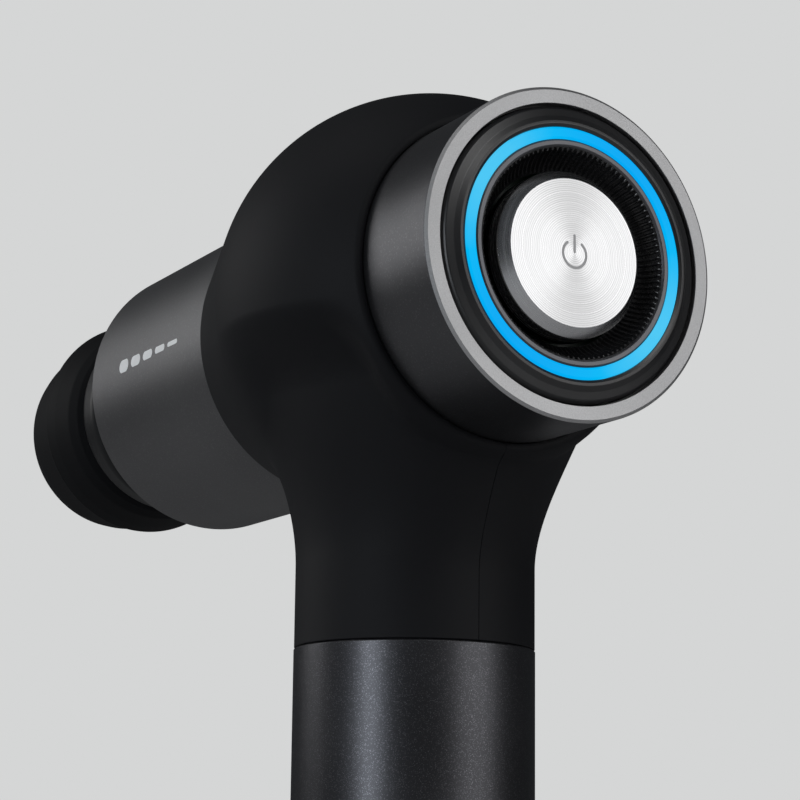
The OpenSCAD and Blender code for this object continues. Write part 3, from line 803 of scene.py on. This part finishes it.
def stroke(name, path, width, x, thick, mat):
    """Flat mark with round ends, following a path of (y, z) points on the button's face."""
    p = np.array(path, float)
    d = np.gradient(p, axis=0)
    d /= np.linalg.norm(d, axis=1, keepdims=True)
    side = np.stack([-d[:, 1], d[:, 0]], 1) * width / 2
    cap1 = [p[-1] + width / 2 * np.array([math.cos(t), math.sin(t)]) for t in np.linspace(math.atan2(*side[-1][::-1]), math.atan2(*side[-1][::-1]) - math.pi, 9)[1:-1]]
    cap0 = [p[0] + width / 2 * np.array([math.cos(t), math.sin(t)]) for t in np.linspace(math.atan2(*(-side[0])[::-1]), math.atan2(*(-side[0])[::-1]) - math.pi, 9)[1:-1]]
    ring = [tuple(v) for v in p + side] + [tuple(v) for v in cap1] + [tuple(v) for v in (p - side)[::-1]] + [tuple(v) for v in cap0]
    ring = np.array(ring)
    n, m = len(p), len(ring)
    V = [(x - thick, y, z) for y, z in ring] + [(x + 0.2, y, z) for y, z in ring]
    F = []
    for k in range(n - 1):
        a, b = k, k + 1
        c, e = n + len(cap1) + (n - 1 - b), n + len(cap1) + (n - 1 - a)
        F.append([a, b, c, e])
    c1 = list(range(n - 1, n + len(cap1) + 1))
    F.append(c1)
    c0 = list(range(n + len(cap1) + n - 1, m)) + [0]
    F.append(c0)
    F = F + [[v + m for v in reversed(f)] for f in F]
    for k in range(m):
        w = (k + 1) % m
        F.append([w, k, k + m, w + m])
    V = np.array(V)
    fn = np.cross(V[F[0][1]] - V[F[0][0]], V[F[0][2]] - V[F[0][0]])
    if fn[0] > 0:
        F = [list(reversed(f)) for f in F]
    ob = build(name, V + up, F, None, [mat])
    ob.data.polygons.foreach_set("use_smooth", [False] * len(ob.data.polygons))
    return ob


ring_path = [(2.4 * math.sin(math.radians(t)), 2.4 * math.cos(math.radians(t)) - 0.25) for t in np.linspace(38, 322, 49)]
put(stroke("power_mark_ring", ring_path, 0.50, BUT_X, 0.012, M["icon"]), "button")
put(stroke("power_mark_bar", [(0, 0.1 + 2.9 * t) for t in np.linspace(0, 1, 7)], 0.50, BUT_X, 0.012, M["icon"]), "button")

# -------------------------------------------------------------------- sleeve
P, N = fillet([(SLV_X0, SLV_R - 1.6, 0.1), (SLV_X0, SLV_R, 0.2), (SLV_X1, SLV_R, 0.28), (SLV_X1, SLV_R - 1.6, 0.2)])
put(lathe("sleeve", P, N, [M["sleeve"]], seg=288), "housing", "front_sleeve")


def sleeve_mark(name, xc, ac, length, width):
    """Printed bar with round ends, wrapped on the sleeve."""
    n = 28
    out = []
    half = max(0.0, length / 2 - width / 2)
    for k in range(n):
        t = 2 * math.pi * k / n
        out.append((math.copysign(half, math.cos(t)) + width / 2 * math.cos(t), width / 2 * math.sin(t)))
    V, Nn, F = [], [], []
    for rr in (SLV_R + 0.035, SLV_R - 0.05):
        for dx, ds in out:
            a = ac + ds / SLV_R
            V.append((xc + dx, rr * math.cos(a), rr * math.sin(a)))
            Nn.append((0, math.cos(a), math.sin(a)))
    for k in range(1, n // 2):
        F.append([k - 1 if k > 1 else 0, k, n - k, (n - k + 1) % n])
    F = [[0, 1, n - 1]]
    for k in range(1, n // 2 - 1):
        F.append([k, k + 1, n - k - 1, n - k])
    F.append([n // 2 - 1, n // 2, n // 2 + 1])
    F = F + [[v + n for v in reversed(f)] for f in F]
    for k in range(n):
        w = (k + 1) % n
        F.append([w, k, k + n, w + n])
    V = np.array(V)
    fn = np.cross(V[F[1][1]] - V[F[1][0]], V[F[1][2]] - V[F[1][0]])
    if fn[1] < 0:
        F = [list(reversed(f)) for f in F]
    ob = build(name, V + up, F, None, [M["print"]])
    ob.data.polygons.foreach_set("use_smooth", [False] * len(ob.data.polygons))
    return ob


mid = (SLV_X0 + SLV_X1) / 2 + 3.2
for k in range(5):
    put(sleeve_mark("level_mark_%d" % (k + 1), mid + (k - 2) * 6.2, math.radians(1.6), 4.7, 1.0 + 0.46 * k), "housing")

P, N = fillet([(86.3, 14.3, 0.2), (86.3, SLV_R - 1.65, 0.2), (89.4, SLV_R - 1.65, 0.6), (90.1, 26.9, 0.8), (90.1, 17.2, 0.8), (88.4, 14.3, 0.5)])
put(lathe("nose_cover", P, N, [M["plastic"]], seg=224), "housing", "nose_ring")
P, N = fillet([(86.3, 10.38, 0.2), (86.3, 14.2, 0.2), (88.3, 14.2, 0.3), (89.4, 11.4, 0.3), (89.4, 10.38, 0.25)])
put(lathe("wiper", P, N, [M["foam"]], seg=160), "housing", "front_wiper")

# -------------------------------------------------------------- massage head
core_lo, core_hi = span("head_core")
P, N = fillet(
    [(84.0, 0.0, 0), (84.0, 6.5, 0.35), (87.7, 6.93, 0.2), (88.0, 6.15, 0.12), (90.0, 6.15, 0.12), (90.2, 6.93, 0.2),
     (94.8, 6.93, 0.2), (95.0, 6.15, 0.12), (97.0, 6.15, 0.12), (97.2, 6.93, 0.2), (104.0, 6.93, 0.2), (104.0, 16.4, 0.9), (105.6, 21.0, 2.6), (108.6, 22.35, 4.0), (113.2, 22.35, 4.0), (116.2, 20.9, 1.5),
     (116.9, 18.4, 0.5), (117.4, 18.2, 0.1), (117.4, 0.0, 0)], closed=False, n=14)
put(lathe("head_collar", P, N, [M["gloss"]], seg=256, closed=False), "massage_head", "head_core")
P, N = fillet(
    [(117.5, 0.0, 0), (117.5, 20.4, 0.4), (118.3, 21.9, 0.7), (120.4, 23.2, 3.0), (125.5, 24.6, 6.0), (129.0, 25.35, 0.9), (130.3, 24.6, 0.8),
     (130.7, 23.95, 0.3), (136.0, 23.45, 4.0), (142.0, 22.9, 4.0), (146.6, 21.9, 3.2), (150.6, 17.6, 6.5), (152.3, 11.0, 12.0), (153.0, 4.0, 14.0), (153.0, 0.0, 0)],
    closed=False, n=20)
put(lathe("head_pad", P, N, [M["rubber"]], seg=256, closed=False), "massage_head", "head_cushion")

# -------------------------------------------------------------------- handle
P, N = fillet([(HAN_Z0, HAN_R - 1.5, 0.1), (HAN_Z0, HAN_R, 0.15), (HAN_Z1 - 0.28, HAN_R, 0.12), (HAN_Z1, HAN_R - 0.28, 0.12), (HAN_Z1, HAN_R - 1.5, 0.1)])
put(lathe("handle_skin", P, N, [M["handle"]], axis="z", seg=256, at=(0, 0, 0)), "housing", "handle_tube")

# ---------------------------------------------------- carried-over CAD nodes
finish = {
    "plastic": ["cap_carrier", "motor_bracket", "guide_housing", "upper_cell_holder", "middle_cell_holder", "lower_cell_holder", "tact_switch", "base_cap"],
    "board": ["led_board", "control_board", "battery_board"],
    "steel": ["carrier_screws", "bracket_screws", "coupling_screws", "motor_shaft", "crank_pin", "wrist_pin", "rod_bearing", "motor_bearings", "piston", "charge_port"],
    "alu": ["connecting_rod", "crank_disc", "coupling_ring"],
    "iron": ["stator_core", "rotor_bell", "rotor_magnets"],
    "copper": ["motor_windings", "battery_leads"],
    "bronze": ["guide_bushing"],
    "wrap": ["battery_cells"],
    "foam": ["damper_rings", "stem_rings", "cell_straps"],
}
for key, names in finish.items():
    for n in names:
        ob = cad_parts[n]
        ob.data.materials.clear()
        ob.data.materials.append(M[key])
        ob.data.polygons.foreach_set("material_index", [0] * len(ob.data.polygons))

# --------------------------------------------------------------------- stage
floor_t = Tree("pale_floor")
fl_n = floor_t.noise(6, 4)
floor_t.link(floor_t.ramp(fl_n, [(0.3, (0.60, 0.60, 0.605)), (0.7, (0.64, 0.64, 0.645))]), floor_t.bsdf.inputs["Base Color"])
floor_t.link(floor_t.remap(fl_n, 0.55, 0.65), floor_t.bsdf.inputs["Roughness"])
fm = bpy.data.meshes.new("floor")
g = 12
fv = [((i / g - 0.5) * 3.0, (j / g - 0.5) * 3.0, -0.0004) for i in range(g + 1) for j in range(g + 1)]
ff = [(i * (g + 1) + j, (i + 1) * (g + 1) + j, (i + 1) * (g + 1) + j + 1, i * (g + 1) + j + 1) for i in range(g) for j in range(g)]
fm.from_pydata(fv, [], ff)
fm.materials.append(floor_t.mat)
floor = bpy.data.objects.new("floor", fm)
bpy.context.scene.collection.objects.link(floor)

world = bpy.data.worlds.new("studio")
bpy.context.scene.world = world
world.use_nodes = True
wt = world.node_tree
wt.nodes.clear()
wo = wt.nodes.new("ShaderNodeOutputWorld")
mixs = wt.nodes.new("ShaderNodeMixShader")
lp = wt.nodes.new("ShaderNodeLightPath")
bg_dim = wt.nodes.new("ShaderNodeBackground")
bg_cam = wt.nodes.new("ShaderNodeBackground")
bg_dim.inputs[0].default_value = (0.85, 0.92, 1.0, 1)
bg_dim.inputs[1].default_value = 0.035
bg_cam.inputs[0].default_value = (0.665, 0.672, 0.672, 1)
bg_cam.inputs[1].default_value = 1.0
wt.links.new(lp.outputs["Is Camera Ray"], mixs.inputs[0])
wt.links.new(bg_dim.outputs[0], mixs.inputs[1])
wt.links.new(bg_cam.outputs[0], mixs.inputs[2])
wt.links.new(mixs.outputs[0], wo.inputs[0])


def area(name, loc, target, w, h, power, colour=(1, 1, 1), spread=180):
    li = bpy.data.lights.new(name, "AREA")
    li.shape = "RECTANGLE"
    li.size, li.size_y = w, h
    li.energy = power
    li.color = colour
    li.spread = math.radians(spread)
    ob = bpy.data.objects.new(name, li)
    ob.location = loc
    d = Vector(target) - Vector(loc)
    ob.rotation_euler = d.to_track_quat("-Z", "Y").to_euler()
    bpy.context.scene.collection.objects.link(ob)
    return ob


hz = H * MM
def polar(az, el, dist, z=0.0):
    a, e = math.radians(az), math.radians(el)
    return (dist * math.cos(e) * math.cos(a), dist * math.cos(e) * math.sin(a), hz + z + dist * math.sin(e))


area("face_card", polar(209, 12, 1.30), (-0.05, 0, hz), 0.85, 0.85, 4.2)
area("key_rear", polar(177, 42, 1.15), (-0.05, 0, hz), 0.5, 0.5, 2.4)
area("strip_left", (-0.345, 1.05, hz - 0.02), (0, 0, hz - 0.08), 0.24, 0.8, 4.4, (0.88, 0.94, 1.0))
area("side_back", polar(40, 18.5, 1.30), (-0.02, 0, hz), 0.55, 0.62, 3.0)
area("top_soft", (0.15, 0.45, hz + 1.1), (0, 0, hz), 0.6, 0.6, 1.3)

# -------------------------------------------------------------------- camera
cam = bpy.data.cameras.new("camera")
cam.sensor_width = 36.0
cam.lens = 96.878
cam.shift_x, cam.shift_y = 0.0, 0.10
cam.clip_start, cam.clip_end = 0.01, 20
cob = bpy.data.objects.new("camera", cam)
bpy.context.scene.collection.objects.link(cob)
yaw, pitch, roll = -0.528801, 0.176548, 0.011756
fw = Vector((math.cos(pitch) * math.cos(yaw), math.cos(pitch) * math.sin(yaw), math.sin(pitch)))
rt = fw.cross(Vector((0, 0, 1))).normalized()
upv = rt.cross(fw)
r2 = rt * math.cos(roll) + upv * math.sin(roll)
u2 = -rt * math.sin(roll) + upv * math.cos(roll)
mat = Matrix((r2, u2, -fw)).transposed().to_4x4()
mat.translation = Vector((-0.344521, 0.204818, (H - 103.303) * MM))
cob.matrix_world = mat
bpy.context.scene.camera = cob
bpy.context.scene.view_settings.view_transform = "Standard"
